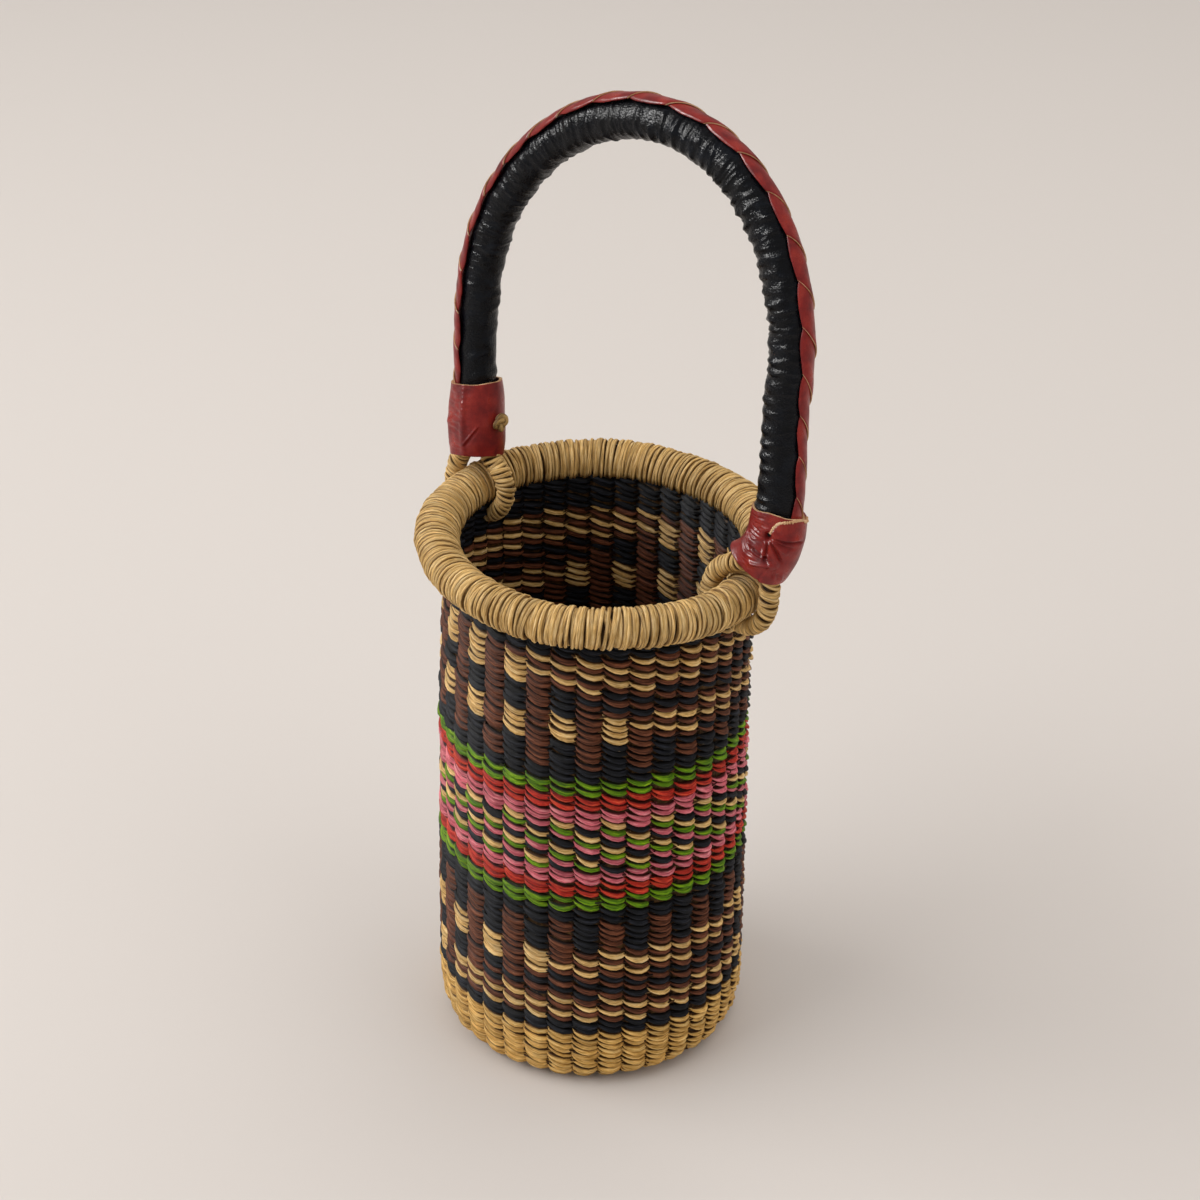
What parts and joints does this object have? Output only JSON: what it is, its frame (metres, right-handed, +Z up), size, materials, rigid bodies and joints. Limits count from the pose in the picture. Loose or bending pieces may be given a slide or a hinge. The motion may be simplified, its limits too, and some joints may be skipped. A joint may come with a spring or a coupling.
{
  "type": "wine bottle basket",
  "caption": "Tall round basket of twined grass that holds one wine bottle, with a straw-bound rim and a leather-covered arch handle that swings on two wrapped loops.",
  "frame": {"origin": "middle of the base's underside, on the surface that the basket stands on", "axes": "+Z up; X runs from loop to loop through the handle's hinge; the handle leans towards +Y at rest"},
  "size_m": [0.1644, 0.139, 0.3736],
  "materials": {
    "straw": "matte",
    "dark_straw": "matte",
    "green_straw": "matte",
    "red_straw": "matte",
    "pink_straw": "matte",
    "black_leather": "satin",
    "red_leather": "satin"
  },
  "bodies": {
    "basket": {"base": "straw", "stake_01": "straw", "stake_02": "straw", "stake_03": "straw", "stake_04": "straw", "stake_05": "straw", "stake_06": "straw", "stake_07": "straw", "stake_08": "straw", "stake_09": "straw", "stake_10": "straw", "stake_11": "straw", "stake_12": "straw", "stake_13": "straw", "stake_14": "straw", "stake_15": "straw", "stake_16": "straw", "stake_17": "straw", "stake_18": "straw", "stake_19": "straw", "stake_20": "straw", "stake_21": "straw", "stake_22": "straw", "stake_23": "straw", "stake_24": "straw", "stake_25": "straw", "stake_26": "straw", "stake_27": "straw", "stake_28": "straw", "stake_29": "straw", "stake_30": "straw", "stake_31": "straw", "stake_32": "straw", "stake_33": "straw", "stake_34": "straw", "stake_35": "straw", "stake_36": "straw", "stake_37": "straw", "stake_38": "straw", "foot_band": "straw", "lower_dark_band": "dark_straw", "lower_green_band": "green_straw", "lower_red_band": "red_straw", "check_band": "pink_straw", "upper_red_band": "red_straw", "upper_green_band": "green_straw", "upper_dark_band": "dark_straw", "rim_core": "straw", "rim_binding": "straw"},
    "handle": {"handle_core": "straw", "handle_sleeve": "black_leather", "lacing_strip": "red_leather", "cuff_left": "red_leather", "cuff_right": "red_leather", "loop_left": "straw", "loop_right": "straw", "cuff_knot": "straw"}
  },
  "joints": [
    {"name": "handle_swing", "type": "hinge", "parent": "basket", "child": "handle", "pos_m": [0, 0, 0.19605], "axis": [1, 0, 0], "range_deg": [-10, 30]}
  ]
}
